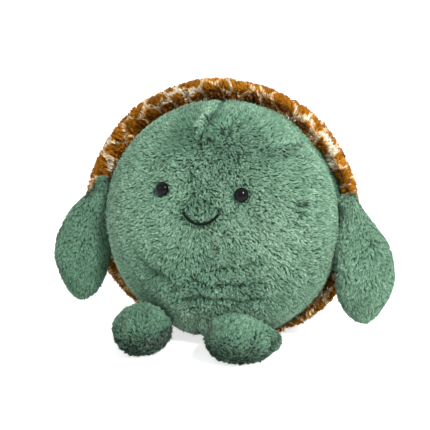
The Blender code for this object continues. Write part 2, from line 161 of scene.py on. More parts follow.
DENTED = 10.6  # the row at which the creases have faded out
FACE_SEAM = row_where(1, FACE_ROWS, FACE_SEAM_AHEAD)
BACK_SEAM = row_where(RIM_ROW, LAST_ROW - 1, -BACK_SEAM_BEHIND)


def smooth_noise(points, size, seed):
    """Three smooth noises, each about -1 to 1, that change over lengths of that size."""
    rng = np.random.default_rng(seed)
    total = np.zeros(points.shape)
    for axis in range(3):
        for _ in range(WAVES):
            wave = rng.normal(size=3)
            wave *= rng.uniform(0.7, 1.4) / np.linalg.norm(wave)
            total[..., axis] += np.sin(points @ wave * 2 * pi / size + rng.uniform(0, 2 * pi))
    return total / WAVE_REACH


def near_line(across, rise, line):
    """Distance from each place to a line of points, and how far along it that is, 0 to 1."""
    best = np.full(across.shape, 1e9)
    along = np.zeros(across.shape)
    parts = len(line) - 1
    for part, ((ax, ay), (bx, by)) in enumerate(zip(line, line[1:])):
        length = (bx - ax) ** 2 + (by - ay) ** 2
        share = np.clip(((across - ax) * (bx - ax) + (rise - ay) * (by - ay)) / length, 0, 1)
        gap = np.hypot(across - ax - share * (bx - ax), rise - ay - share * (by - ay))
        along = np.where(gap < best, (part + share) / parts, along)
        best = np.minimum(best, gap)
    return best, along


TOP_DART = ((-10.5, 135), (-10, 127), (-9, 112), (-13.5, 97), (-14.5, 84), (-13, 70))
LOW_DART = ((-20, -131), (-11, -88))
EYE_PLACES = {"left": (36, 35.5), "right": (-50, 35.5)}
EYE_CLEARINGS = ((36, 35.5, 7.0), (-47.5, 35, 5.2))  # across, rise and bare radius
SMILE_CLEARING = 1.6
FACE_LINES = (
    # line, depth, half width, how the depth goes from its start to its end
    (TOP_DART, 6.0, 3.4, (1, 0.2)),
    (((-26, 112), (-24, 96), (-20, 80)), 2.0, 4.5, (0.4, 1.0)),
    (LOW_DART, 3.5, 3.5, (1, 0.2)),
    (((-36, -70), (-18, -62), (-4, -60), (9, -65), (32, -61), (60, -60)), 3.6, 2.8, (0.8, 0.8)),
    (((-22, -84), (-3, -77), (31, -80), (60, -79)), 3.2, 2.8, (0.9, 0.8)),
    (((-2, -44), (8, -47), (18, -44), (34, -42), (53, -36)), 2.6, 2.4, (0.7, 0.7)),
    (((-80, -38), (-65, -49), (-54, -58), (-44, -62)), 2.0, 4.0, (0.6, 1.0)),
    (((-64, 22), (-58, 34), (-56, 40)), 2.0, 2.6, (0.3, 1.0)),
    (((-24, 12), (-26, 19), (-18, 28), (-10, 29)), 2.4, 2.4, (1.0, 0.6)),
    (((-1, 28), (8, 25), (14, 18)), 2.2, 2.2, (0.6, 1.0)),
)
FACE_SPOTS = (
    # across, rise, radius, depth
    (-25, 12, 3.5, 2.6),
    (15, 19, 3.0, 2.6),
    (99, 27, 3.5, 4.5),
    (94, 17, 3.5, 4.0),
    (90, 6, 3.5, 3.5),
    (92, 28, 3, 3.5),
    (*EYE_PLACES["left"], 9, 2.6),
    (*EYE_PLACES["right"], 9, 2.6),
    (-62, -52, 12, 2.0),
)


def creases(across, rise):
    """Depth of the face's darts, folds and dimples at each place."""
    across = across + 1.4 * np.sin(rise / 4.1 + across / 7.7)
    rise = rise + 1.8 * np.sin(across / 5.3 + 1) * np.clip(1 - rise / 40, 0, 1)
    depth = np.zeros(across.shape)
    for line, deep, wide, (first, last) in FACE_LINES:
        gap, along = near_line(across, rise, line)
        depth += deep * mix(first, last, along) * np.exp(-((gap / wide) ** 2))
    for u, v, wide, deep in FACE_SPOTS:
        gap = np.hypot(across - u, rise - v)
        depth += deep * np.exp(-((gap / wide) ** 2))
    return depth


def crease_slope(across, rise):
    """How fast the creases deepen across and up, at each place."""
    step = 0.5
    return (
        (creases(across + step, rise) - creases(across - step, rise)) / (2 * step),
        (creases(across, rise + step) - creases(across, rise - step)) / (2 * step),
    )


def relief(row, across, rise, points, inset):
    """How far in the backing cloth lies from the CAD form."""
    depth = inset + 0.9 * smooth_noise(points, 70, 3)[..., 0]
    depth = depth + 0.35 * smooth_noise(points, 24, 4)[..., 0]

    # Each seam draws the cloth in
    run = np.interp(row, ROWS, RUNS)
    for seam, deep, wide in ((FACE_SEAM, 1.2, 4), (BACK_SEAM, 2.5, 5)):
        gap = run - np.interp(seam, ROWS, RUNS)
        depth = depth + deep * np.exp(-((gap / wide) ** 2))

    # The left side is slack, with the rim swelling above it, and low down the rim differs
    turn = np.arctan2(across, rise)
    slack = SIDE_SLACK * hump(turn - 1.35, row - 9.9, 0.85, 1.6)
    swell = SIDE_SWELL * hump(turn - 0.95, row - 11.8, 0.5, 0.9)
    low = hump(np.abs(turn) - 2.2, row - 13.5, 0.4, 2.5)
    low = np.where(turn > 0, -LEFT_BULGE, RIGHT_HOLLOW) * low

    # The back's middle seam
    gap = np.where(row > RIM_ROW, np.abs(points[..., 0]), 1e3)
    return depth + slack - swell + low + 2.5 * np.exp(-((gap / 5) ** 2))


def grid_normals(points, outward):
    """Unit normals of a grid of points, all on the side that mostly looks along outward."""
    normals = unit(np.cross(np.gradient(points, axis=0), np.gradient(points, axis=1)))
    return normals * np.sign((normals * outward).sum())


def grid_of(first, last, rows, turns):
    """A grid of rows between two values, each with one turn round the axis."""
    ends = np.linspace(first, last, rows), np.linspace(0, 2 * pi, turns)
    return np.meshgrid(*ends, indexing="ij")


def body_grid(first, last, rows, turns, inset):
    """A patch of the body between two rows: its places, their normals and their creases."""
    row, turn = grid_of(first, last, rows, turns)
    row = np.clip(row, POLE, LAST_ROW - POLE)
    points, across, rise = body_form(row, turn)
    ahead = ((points - BODY_CENTRE) @ FORWARD)[..., None]
    outward = points - BODY_CENTRE - 0.35 * ahead * FORWARD
    normals = grid_normals(points, outward)
    points = points - normals * relief(row, across, rise, points, inset)[..., None]
    plain = grid_normals(points, outward)
    dent = creases(across, rise) * np.clip(DENTED - row, 0, 1)
    points = points - plain * dent[..., None]
    return {
        "points": points,
        "normals": grid_normals(points, outward),
        "plain": plain,
        "dent": dent,
        "row": row,
        "turn": turn,
        "across": across,
        "rise": rise,
    }


def scatter(grid, count, rng):
    """Random places on a grid, evenly by area, with every array of it read there."""
    p = grid["points"]
    size = np.linalg.norm(np.cross(p[1:, 1:] - p[:-1, :-1], p[1:, :-1] - p[:-1, 1:]), axis=-1)
    share = np.cumsum(size.ravel())
    cell = np.searchsorted(share, rng.random(count) * share[-1])
    i, j = np.unravel_index(np.minimum(cell, size.size - 1), size.shape)
    a, b = rng.random((2, count))
    out = {}
    for name, values in grid.items():
        low = mix(values[i, j].T, values[i + 1, j].T, a)
        high = mix(values[i, j + 1].T, values[i + 1, j + 1].T, a)
        out[name] = mix(low, high, b).T
    out["normals"] /= np.linalg.norm(out["normals"], axis=1, keepdims=True)
    return out


def chosen(spots, wanted):
    """Those of some scattered spots that are wanted, with all their values."""
    return {key: value[wanted] for key, value in spots.items()}



def clumps_of(spots, look):
    """Which clump each tuft leans into: a cell of a wavy grid, like the knit behind it."""
    wave = smooth_noise(spots["points"], look["wave"], 8) * look["wander"]
    row = np.floor(spots["knity"] / look["pitch"] + wave[:, 1])
    column = np.floor(spots["knitx"] / look["pitch"] + wave[:, 0] + 0.5 * (row % 2))
    return np.unique(row * MOST_COLUMNS + column, return_inverse=True)[1]


def clump_mean(clump, values):
    """The mean of some vectors over each clump, given back for each tuft."""
    count = np.maximum(np.bincount(clump), 1)
    means = [np.bincount(clump, values[:, axis]) / count for axis in range(3)]
    return np.stack(means, 1)[clump]


def make_tufts(spots, comb, look, rng):
    """Leaf-shaped tufts of pile on scattered spots: points, normals, heights and chances.

    look: length, width, lean and bend of a tuft, in mm and degrees; the pitch of the
    clumps in mm, and the wander and wave of their grid; how strongly a clump's tips
    gather; how ragged the lengths are; how far tufts swing off the comb, in radians; and
    how much of a tuft's own relief its normals show.
    """
    root, up = spots["points"], spots["normals"]
    count = len(root)
    along = unit(comb - (comb * up).sum(1, keepdims=True) * up)
    side = np.cross(up, along)
    clump = clumps_of(spots, look)
    clumps = clump.max() + 1
    wild = spots.get("wild", np.zeros(count))
    swing = (rng.normal(0, 1, clumps)[clump] + rng.normal(0, 0.5, count)) * (look["swing"] + wild)
    along = along * np.cos(swing)[:, None] + side * np.sin(swing)[:, None]
    lean = look["lean"] + rng.normal(0, 10, clumps)[clump] + rng.normal(0, 9, count)
    lean = np.radians(lean + spots.get("flat", np.zeros(count)))
    bend = lean + radians(look["bend"])
    tall = 1 + look["ragged"] * rng.normal(size=clumps)[clump]
    tall = tall * (1 + look["ragged"] * 0.6 * rng.normal(size=count))
    length = look["length"] * np.clip(tall, 0.5, 1.4) * spots.get("short", np.ones(count))
    first = up * np.cos(lean)[:, None] + along * np.sin(lean)[:, None]
    second = up * np.cos(bend)[:, None] + along * np.sin(bend)[:, None]
    middle = root + first * (0.5 * length)[:, None]
    tip = middle + second * (0.55 * length)[:, None]
    gather = (look["gather"] * (1 + 1.2 * wild) * rng.uniform(0.6, 1.3, count))[:, None]
    tip = mix(tip, clump_mean(clump, tip), np.minimum(gather, 0.9))
    middle = mix(middle, clump_mean(clump, middle), gather * 0.3)
    twist = rng.normal(0, 0.6, count)[:, None]
    across = unit(np.cross(up, along) * np.cos(twist) + along * np.sin(twist))
    half = across * (0.5 * look["width"] * rng.uniform(0.7, 1.3, count))[:, None]
    points = np.stack((root - up * ROOT_DEPTH, middle - half, middle + half, tip), 1)
    flat = unit(np.cross(half, tip - root))
    flat *= np.sign((flat * up).sum(1, keepdims=True))
    shade = unit(mix(up, flat, look["relief"]))
    tilt = half / np.linalg.norm(half, axis=1, keepdims=True) * 0.3
    normals = np.stack((shade, shade - tilt, shade + tilt, shade), 1)
    height = np.tile((0.0, 0.55, 0.55, 1.0), (count, 1))
    chance = 0.5 + 0.12 * rng.normal(size=clumps)[clump] + 0.34 * rng.normal(size=count)
    chance = np.repeat(np.clip(chance, 0, 1)[:, None], TUFT_POINTS, 1)
    return points, unit(normals), height, chance


def grid_faces(rows, turns):
    """The triangles of a grid of points."""
    i, j = np.meshgrid(np.arange(rows - 1), np.arange(turns - 1), indexing="ij")
    a = (i * turns + j).ravel()
    quads = np.stack((a, a + 1, a + turns + 1, a + turns), 1)
    return np.concatenate((quads[:, :3], quads[:, (0, 2, 3)]))


def add_object(name, points, faces):
    """A smooth mesh in the scene, from points in metres."""
    mesh = bpy.data.meshes.new(name)
    mesh.from_pydata(points, [], faces)
    mesh.shade_smooth()
    made = bpy.data.objects.new(name, mesh)
    bpy.context.scene.collection.objects.link(made)
    return made


def add_vectors(mesh, name, *columns):
    """A vector at each point of a mesh, for its material to read."""
    values = np.stack(columns, 1).astype(np.float32)
    vectors = mesh.attributes.new(name, "FLOAT_VECTOR", "POINT")
    vectors.data.foreach_set("vector", values.ravel())


def with_tufts(cloth, tufts):
    """A value for each point of a skin, from its cloth's and one for each tuft."""
    return np.concatenate((cloth.ravel(), np.repeat(tufts, TUFT_POINTS)))


def plush_piece(name, grid, spots, tufts, keep, material, body, nodes, shade):
    """One skin of the toy: its backing cloth and its pile, as one mesh that rides on a body."""
    rows, turns = grid["row"].shape
    base = grid["points"].reshape(-1, 3)
    base_faces = grid_faces(rows, turns)
    base_faces = base_faces[keep(base[base_faces].mean(1))]
    tuft_points, tuft_normals, height, chance = tufts
    start = np.arange(len(tuft_points))[:, None, None] * TUFT_POINTS
    tuft_faces = (start + np.array(((0, 2, 1), (1, 2, 3)))).reshape(-1, 3)
    points = np.concatenate((base, tuft_points.reshape(-1, 3)))
    points[:, 2] = np.maximum(points[:, 2], FLOOR_GAP)
    faces = np.concatenate((base_faces, tuft_faces + len(base)))
    normals = np.concatenate((grid["normals"].reshape(-1, 3), tuft_normals.reshape(-1, 3)))
    corners = points[faces]
    facing = np.cross(corners[:, 1] - corners[:, 0], corners[:, 2] - corners[:, 0])
    turned = (facing * normals[faces].sum(1)).sum(1) < 0
    faces[turned] = faces[turned][:, ::-1]
    made = add_object(name, (points * MM).tolist(), faces.tolist())
    mesh = made.data

    # Map: the cloth in a strip at one side, each tuft as a small leaf where it grows
    place = np.stack((spots["mapx"], spots["mapy"]), 1)
    leaf = np.array(((0, 0), (-0.6, 1.4), (0.6, 1.4), (0, 2.8))) / BAKE_PIXELS
    tuft_map = place[:, None] * (0.76, 0.97) + (0.22, 0.01) + leaf
    cloth = np.stack((grid["mapx"], grid["mapy"]), -1).reshape(-1, 2) * (0.18, 0.18) + 0.01
    where = np.concatenate((cloth, tuft_map.reshape(-1, 2)))[faces.ravel()]
    layer = mesh.uv_layers.new(name="OFBake")
    layer.uv.foreach_set("vector", where.astype(np.float32).ravel())

    low = np.zeros(len(base))
    height = np.concatenate((low, height.ravel()))
    chance = np.concatenate((low + 0.5, chance.ravel()))
    # Each point's height and chance, and its tone, which carries the skin's painted light and shade
    add_vectors(mesh, "pile", height, chance, with_tufts(shade(grid), shade(spots)))
    print_across = with_tufts(grid["printx"], spots["printx"])
    print_up = with_tufts(grid["printy"], spots["printy"])
    add_vectors(mesh, "print", print_across, print_up, np.zeros(len(points)))
    mesh.normals_split_custom_set_from_vertices(normals.tolist())
    mesh.materials.append(material)
    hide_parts(*nodes)
    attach(made, body)


# Materials
NOISE_LOW, NOISE_HIGH = 0.35, 0.65  # most of a noise node's values lie between these


def shader_of(name, colour, roughness, **sockets):
    """A Principled material with constants on its own sockets."""
    material = bpy.data.materials.new(name)
    material.use_nodes = True
    shader = material.node_tree.nodes["Principled BSDF"]
    shader.inputs["Base Color"].default_value = (*colour, 1)
    shader.inputs["Roughness"].default_value = roughness
    for socket, value in sockets.items():
        shader.inputs[socket.replace("_", " ")].default_value = value
    return material, material.node_tree, shader


def linked(tree, kind, inputs=(), **settings):
    """A node with its settings, and its inputs linked or set by number."""
    node = tree.nodes.new(kind)
    for key, value in settings.items():
        setattr(node, key, value)
    for key, value in dict(inputs).items():
        if isinstance(value, bpy.types.NodeSocket):
            tree.links.new(value, node.inputs[key])
        else:
            node.inputs[key].default_value = value
    return node


def colour_mix(tree, share, low, high, blend="MIX"):
    """Two colours mixed. The share and each colour is a socket or a constant."""
    node = tree.nodes.new("ShaderNodeMix")
    node.data_type = "RGBA"
    node.blend_type = blend
    for number, value in ((0, share), (6, low), (7, high)):
        if isinstance(value, bpy.types.NodeSocket):
            tree.links.new(value, node.inputs[number])
        elif number:
            node.inputs[number].default_value = (*value, 1)
        else:
            node.inputs[number].default_value = value
    return node.outputs[2]


def noise_of(tree, place, scale, detail):
    inputs = {"Vector": place, "Scale": scale, "Detail": detail}
    return linked(tree, "ShaderNodeTexNoise", inputs)


def worked(tree, operation, inputs, kind="ShaderNodeMath"):
    """What a maths node gives for some inputs."""
    return linked(tree, kind, inputs, operation=operation).outputs[0]


def value_map(tree, value, low, high, to_low=0.0, to_high=1.0):
    """A value carried from one range to another."""
    return linked(
        tree,
        "ShaderNodeMapRange",
        {0: value, 1: low, 2: high, 3: to_low, 4: to_high},
    ).outputs[0]


def pile_values(tree):
    """Height, chance and tone of a tuft, the tone carrying painted light and shade, and its place
    on the cloth.
    """
    pile = linked(tree, "ShaderNodeAttribute", attribute_name="pile")
    parts = linked(tree, "ShaderNodeSeparateXYZ", {0: pile.outputs["Vector"]})
    place = linked(tree, "ShaderNodeAttribute", attribute_name="print").outputs["Vector"]
    return (*parts.outputs, place)


def finish_pile(tree, shader, colour, pale, root, height, chance, tone):
    """Painted shade at the roots and on the cloth, where the pile shades itself; lighter towards
    the tips and paler where brighter, partly a painted sheen; each tuft a little different.
    """
    spread = value_map(tree, chance, 0, 1, 0.56, 1.44)
    # Painted shade: darker from the tips down to the roots and the cloth
    deep = value_map(tree, height, 0, 0.9, root, 1.0)
    level = worked(tree, "MULTIPLY", {0: spread, 1: deep})
    level = worked(tree, "MULTIPLY", {0: level, 1: tone})
    # Paler where brighter: partly a painted sheen
    colour = colour_mix(tree, value_map(tree, level, 0.7, 1.4), colour, pale)
    grey = linked(tree, "ShaderNodeCombineColor", {0: level, 1: level, 2: level}).outputs[0]
    colour = colour_mix(tree, 1.0, colour, grey, "MULTIPLY")
    tree.links.new(colour, shader.inputs["Base Color"])


SAGE = (0.175, 0.386, 0.242)
SAGE_MIST = (0.206, 0.424, 0.276)
# A paler sage that brighter pile turns towards: partly a painted sheen
SAGE_PAINTED_SHEEN = (0.330, 0.462, 0.345)


def sage_pile(name):
    """Short sage-green pile, a little misty in places."""
    material, tree, shader = shader_of(
        name, SAGE, 0.95, Sheen_Weight=0.18, Sheen_Roughness=0.5, Specular_IOR_Level=0.15
    )
    height, chance, tone, place = pile_values(tree)
    cloud = noise_of(tree, place, 0.045, 3).outputs[0]
    share = value_map(tree, cloud, NOISE_LOW, NOISE_HIGH)
    colour = colour_mix(tree, share, SAGE, SAGE_MIST)
    finish_pile(tree, shader, colour, SAGE_PAINTED_SHEEN, 0.14, height, chance, tone)
    return material


BROWN = (0.330, 0.118, 0.006)
AMBER = (0.480, 0.192, 0.012)
DARK_BROWN = (0.230, 0.070, 0.005)
CREAM = (0.800, 0.730, 0.580)
HONEY = (0.780, 0.480, 0.180)
PRINT_CELL = 21  # across a brown patch
PRINT_WOBBLE = 7.0  # how far the patches' edges wander


def print_pile(name):
    """Long pile with a common giraffe-like print: brown patches parted by cream lines."""
    material, tree, shader = shader_of(
        name, BROWN, 0.9, Sheen_Weight=0.04, Sheen_Roughness=0.5, Specular_IOR_Level=0.08
    )
    height, chance, tone, place = pile_values(tree)
    wobble = noise_of(tree, place, 0.09, 2).outputs["Color"]
    for_vectors = "ShaderNodeVectorMath"
    shift = worked(tree, "SUBTRACT", {0: wobble, 1: (0.5, 0.5, 0.5)}, for_vectors)
    shift = worked(tree, "SCALE", {0: shift, "Scale": PRINT_WOBBLE}, for_vectors)
    place = worked(tree, "ADD", {0: place, 1: shift}, for_vectors)
    cells = {"Vector": place, "Scale": 1 / PRINT_CELL, "Randomness": 0.75}
    kind = "ShaderNodeTexVoronoi"
    edge = linked(tree, kind, cells, voronoi_dimensions="2D", feature="DISTANCE_TO_EDGE")
    cell = linked(tree, kind, cells, voronoi_dimensions="2D")
    tint = linked(tree, "ShaderNodeSeparateXYZ", {0: cell.outputs["Color"]}).outputs[0]
    brown = colour_mix(tree, tint, BROWN, AMBER)
    fleck = noise_of(tree, place, 0.35, 2).outputs[0]
    fleck = value_map(tree, fleck, 0.45, 0.8, 0, 0.45)
    brown = colour_mix(tree, fleck, brown, DARK_BROWN)
    spread = noise_of(tree, place, 0.022, 1).outputs[0]
    spread = value_map(tree, spread, 0.52, 0.7, 0, 0.085)
    within = worked(tree, "SUBTRACT", {0: edge.outputs["Distance"], 1: spread})
    patch = value_map(tree, within, 0.045, 0.075)
    fringe = colour_mix(tree, value_map(tree, within, -0.03, 0.05), CREAM, HONEY)
    colour = colour_mix(tree, patch, fringe, brown)
    finish_pile(tree, shader, colour, colour, 0.4, height, chance, tone)
    return material


sage = sage_pile("sage_pile")
printed = print_pile("print_pile")


def bump(at, across, rise, wide, high):
    """A smooth hump of 1 over an oval of the face."""
    return hump(at["across"] - across, at["rise"] - rise, wide, high)


def mottle(at):
    """A faint unevenness of tone."""
    return 0.05 * smooth_noise(at["points"], 38, 17)[..., 0]


def face_painted_light(at):
    """Tone of the face, painted light and shade: lighter where the light falls and where the pile
    is brushed towards the viewer, darker where it is brushed away, with painted shade along the
    dart, on the muzzle and in the creases, and a faint unevenness of tone.
    """
    # Painted light on both cheeks
    tone = 1.0 + 0.14 * bump(at, 70, 0, 50, 45) + 0.06 * bump(at, -85, 20, 28, 60)
    # Painted shade on the forehead, and painted light and shade on either side of the dart
    tone = tone - 0.26 * bump(at, -34, 94, 20, 24) - 0.12 * bump(at, 14, 80, 18, 26)
    tone = tone + 0.55 * bump(at, -17.5, 110, 5.5, 18) - 0.2 * bump(at, -5, 108, 6, 20)
    tone = tone - 0.12 * bump(at, 0, 100, 75, 40) - 0.05 * bump(at, 60, 80, 35, 30)
    # Painted shade on the muzzle and in the belly's crinkles
    tone = tone - 0.22 * bump(at, -8, 21, 16, 9)
    tone = tone - 0.14 * bump(at, 6, -75, 62, 30) - 0.08 * bump(at, -60, -60, 30, 26)
    # Painted light on the low belly, against the feet's shadow, and on one cheek
    tone = tone + 0.3 * bump(at, 0, -116, 80, 24) + 0.05 * bump(at, 75, 10, 50, 60)
    tone = tone + mottle(at)
    # Painted shade in the creases
    return tone - 0.1 * np.minimum(creases(at["across"], at["rise"]), 4.6)


# A level of tone with a faint unevenness; a level below 1, as on the limbs, is painted shade
def even_shade(level):
    return lambda at: level + mottle(at)


def gusset_painted_shade(at):
    """Tone of the gusset: the face's painted light and shade, with painted shade deepening down in
    the crease before the shell.
    """
    return face_painted_light(at) - 0.5 * np.clip((at["row"] - 9.6) / 1.4, 0, 1) ** 1.5


def rim_painted_light(at):
    """Tone of the shell's rolled rim, a little lighter all over, with painted light on its pile
    down in the crease, where shade falls.
    """
    return even_shade(1.08)(at) + 0.35 * np.exp(-(((at["row"] - CREASE_ROW) / 1.6) ** 2))


def body_comb(at):
    """Which way the body's pile lies: parted on the face, and outward and back beyond it."""
    points, row = at["points"], at["row"]
    u, v = at["across"], at["rise"]
    outward = np.stack((u, v), 1) / np.maximum(np.hypot(u, v), 25)[:, None]

    # On the face it parts at the middle line and flows out, down and into the creases
    split = np.tanh((u + 12) / 40)
    above = np.clip((v - 60) / 40, 0, 1) * np.exp(-(((u + 13) / 14) ** 2))
    flow_u = 0.9 * split + 0.3 * outward[:, 0] - 0.5 * above * np.tanh((u + 12) / 5)
    flow_v = -0.6 + 0.2 * outward[:, 1] - 0.9 * above
    down_u, down_v = crease_slope(u, v)
    on_face = row < FACE_SEAM
    edge = np.clip((row - 4.5) / 4, 0, 1)
    flow_u = mix(flow_u, outward[:, 0], edge) - on_face * 1.1 * down_u
    flow_v = mix(flow_v, outward[:, 1], edge) - on_face * 1.1 * down_v
    flow = ACROSS * flow_u[:, None] + UPWARD * flow_v[:, None] - FORWARD * edge[:, None]

    # On the shell it lies outward, and downward in the middle of the back
    sag = 0.9 * np.clip(1 - np.hypot(u, v) / 120, 0, 1)[:, None]
    rim = ACROSS * outward[:, :1] + UPWARD * (outward[:, 1:] - sag) - 0.3 * FORWARD
    flow = np.where((row > CREASE_ROW)[:, None], rim, flow)
    return flow + 0.35 * smooth_noise(points, 60, 11) + 0.3 * smooth_noise(points, 22, 12)


BACK_PRINT = (700, 300)  # where on the pattern the shell's back lies


def add_maps(at, polar, first, last):
    """Map places of a patch, and the print's own coordinates in millimetres."""
    if polar:
        radius = np.abs(at["row"] - first) / abs(last - first) * 0.5
        at["mapx"] = 0.5 + radius * np.sin(at["turn"])
        at["mapy"] = 0.5 + radius * np.cos(at["turn"])
    else:
        at["mapx"] = at["turn"] / (2 * pi)
        at["mapy"] = (at["row"] - first) / (last - first)
    run = np.interp(at["row"], ROWS, RUNS)
    ring = at["turn"] * BODY_RADIUS
    flat = at["row"] > BACK_SEAM
    at["printx"] = np.where(flat, at["across"] + BACK_PRINT[0], ring)
    at["printy"] = np.where(flat, at["rise"] + BACK_PRINT[1], run)
    disc = (at["row"] < FACE_SEAM) | flat
    far = np.where(flat, RUNS[-1] - run, run)
    at["knitx"] = np.where(disc, far * np.sin(at["turn"]), ring)
    at["knity"] = np.where(disc, far * np.cos(at["turn"]), run)


SMILE_POINTS = 25
SMILE_HALF, SMILE_MIDDLE, SMILE_LOW = 18.5, -4, 3.2
SMILE_CURVE, SMILE_FULLNESS = 10.6, 2.4


def smile_line():
    """Places of the smile, across and up the face."""
    shares = np.linspace(-1, 1, SMILE_POINTS)
    u = SMILE_HALF * shares + SMILE_MIDDLE
    v = SMILE_LOW + SMILE_CURVE * np.abs(shares) ** SMILE_FULLNESS + shares
    return list(zip(u, v))


def press_creases(spots):
    """Moves spots to the exact depth of the creases, and tilts their pile as these do."""
    hold = np.clip(DENTED - spots["row"], 0, 1)
    exact = creases(spots["across"], spots["rise"]) * hold
    spots["points"] -= spots["plain"] * (exact - spots["dent"])[:, None]
    across, upward = crease_slope(spots["across"], spots["rise"])
    tilt = ACROSS * across[:, None] + UPWARD * upward[:, None]
    spots["normals"] = unit(spots["plain"] + 0.7 * hold[:, None] * tilt)


def groom_face(spots):
    """The spots of the face that are not bare, with how short, wild and flat each lies."""
    free = np.ones(len(spots["row"]), bool)
    short = np.ones(len(spots["row"]))
    for u, v, bare in EYE_CLEARINGS:
        gap = np.hypot(spots["across"] - u, spots["rise"] - v)
        free &= gap > bare
        short = np.minimum(short, np.clip(mix(0.5, 1, (gap - bare) / 6), 0, 1))
    gap = near_line(spots["across"], spots["rise"], smile_line())[0]
    free &= gap > SMILE_CLEARING
    short = np.minimum(short, np.clip(mix(0.45, 1, (gap - SMILE_CLEARING) / 5), 0, 1))
    spots["short"] = short * (1 + 0.3 * bump(spots, -17, 105, 16, 30))
    spots["wild"] = (
        0.5 * bump(spots, 5, -75, 65, 32)
        + 0.5 * bump(spots, -9, 20, 16, 12)
        + 0.25 * bump(spots, -5, 85, 40, 40)
    )
    spots["flat"] = 14 * bump(spots, -90, 30, 40, 70) - 12 * bump(spots, 70, 20, 45, 55)
    return chosen(spots, free)


def body_skin(
    name, first, last, rows, turns, inset, count, look, seed, material, nodes, shade,
    half=0, polar=None,
):
    """One skin of the body between two rows, or the half of it on one side of the middle.

    polar: for a skin that closes over the axis, the row at its middle and the one at its rim.
    """
    rng = np.random.default_rng(seed)
    grid = body_grid(first, last, rows, turns, inset)
    add_maps(grid, polar is not None, *(polar or (first, last)))
    spots = scatter(grid, count, rng)
    if half:
        spots = chosen(spots, spots["points"][:, 0] * half > 0)
        beyond = grid["points"][..., 0] * half < 0
        near = beyond & (np.abs(grid["points"][..., 0]) < SEAM_SNAP)
        grid["points"][..., 0] = np.where(near, 0, grid["points"][..., 0])
    if last < RIM_ROW:
        press_creases(spots)
    if first < FACE_SEAM:
        spots = groom_face(spots)
    tufts = make_tufts(spots, body_comb(spots), look, rng)
    keep = (lambda c: c[:, 0] * half > 0) if half else (lambda c: np.ones(len(c), bool))
    plush_piece(name, grid, spots, tufts, keep, material, "torso", nodes, shade)


SHORT = {
    "length": 4.8, "width": 0.95, "lean": 36, "bend": 30, "pitch": 2.3, "gather": 0.34,
    "ragged": 0.09, "swing": 0.25, "relief": 0.6, "wander": 0.4, "wave": 14,
}
TUFTED = {
    **SHORT, "length": 5.1, "gather": 0.6, "pitch": 3.0, "swing": 0.5, "ragged": 0.15, "lean": 32,
}
LONG = {
    "length": 5.0, "width": 1.15, "lean": 12, "bend": 20, "pitch": 2.6, "gather": 0.3,
    "ragged": 0.24, "swing": 0.35, "relief": 0.5, "wander": 0.6, "wave": 16,
}
SEAM_SNAP = 7  # cloth that reaches this far past the back's middle seam ends on it

body_skin(
    "face_panel_plush", 0, FACE_SEAM, rows=54, turns=121, inset=3.2, count=92000, look=SHORT,
    seed=21, material=sage, nodes=["face_panel", "body_stuffing"], shade=face_painted_light,
    polar=(0, FACE_SEAM),
)
body_skin(
    "side_gusset_plush", FACE_SEAM, CREASE_ROW + 0.15, rows=24, turns=145, inset=3.2,
    count=60000, look=SHORT, seed=22, material=sage, nodes=["side_gusset"], shade=gusset_painted_shade,
)
body_skin(
    "shell_rim_plush", CREASE_ROW + 0.1, BACK_SEAM, rows=40, turns=145, inset=4.2,
    count=88000, look=LONG, seed=23, material=printed, nodes=["shell_rim"], shade=rim_painted_light,
)
for side, half, seed in (("left", 1, 24), ("right", -1, 25)):
    body_skin(
        f"shell_back_{side}_plush", BACK_SEAM, LAST_ROW, rows=40, turns=145, inset=4.2,
        count=130000, look=LONG, seed=seed, material=printed, nodes=[f"shell_back_{side}"],
        shade=even_shade(1.0), half=half, polar=(LAST_ROW, BACK_SEAM),
    )

# Limbs
FLIPPER = {
    "length": 137, "width": 67, "thick": 32, "root": 8, "droop": 1.55, "taper": 0.55, "curl": 22,
    "pad": 8, "reach": 5, "snug": 0.3, "tuck": 0,
}
FOOT = {
    "length": 105, "width": 62, "thick": 55, "root": 13, "droop": 1.2, "taper": 0.6, "curl": 0,
    "pad": 0, "reach": 0, "snug": 1,
}
SPLAY = radians(21)
TOE_IN = {"left": radians(38), "right": radians(2)}
TOE_TUCK = {"left": 5, "right": 0}
MIDDLE = 0.45  # how far along a limb its middle is
SNUG_RUN = 30  # how far from the root the cloth lies closer to the solid
LIMB_OVERLAP = 0.5  # how far the cloth of a limb's half reaches past the seam
FLIPPER_TUFTS, FOOT_TUFTS = 38000, 34000
# Painted shade on each limb: the right ones, away from the key lamp, and the feet, low down, darker
FLIPPER_PAINTED_SHADE = {"left": 0.97, "right": 0.72}
FOOT_PAINTED_SHADE = {"left": 0.82, "right": 0.70}


def limb_frames():
    """Root, direction, side and sizes of each limb, as the CAD solids have them."""
    joints = {joint["child"]: np.array(joint["pos_m"]) / MM for joint in frame["joints"]}
    climb = (FOOT["thick"] / 2 - FOOT["root"]) / (FOOT["length"] / 2)
    frames = {}
    for side, sign in (("left", 1), ("right", -1)):
        limb = side + "_flipper"
        along = ACROSS * sign * sin(SPLAY) - UPWARD * cos(SPLAY)
        frames[limb] = (joints[limb], along, ACROSS * -sign, FLIPPER)
        limb = side + "_foot"
        along = unit(np.array((-sign * sin(TOE_IN[side]), -cos(TOE_IN[side]), climb)))
        size = {**FOOT, "tuck": TOE_TUCK[side]}
        frames[limb] = (joints[limb], along, np.cross((0, 0, 1.0), along), size)
    return frames


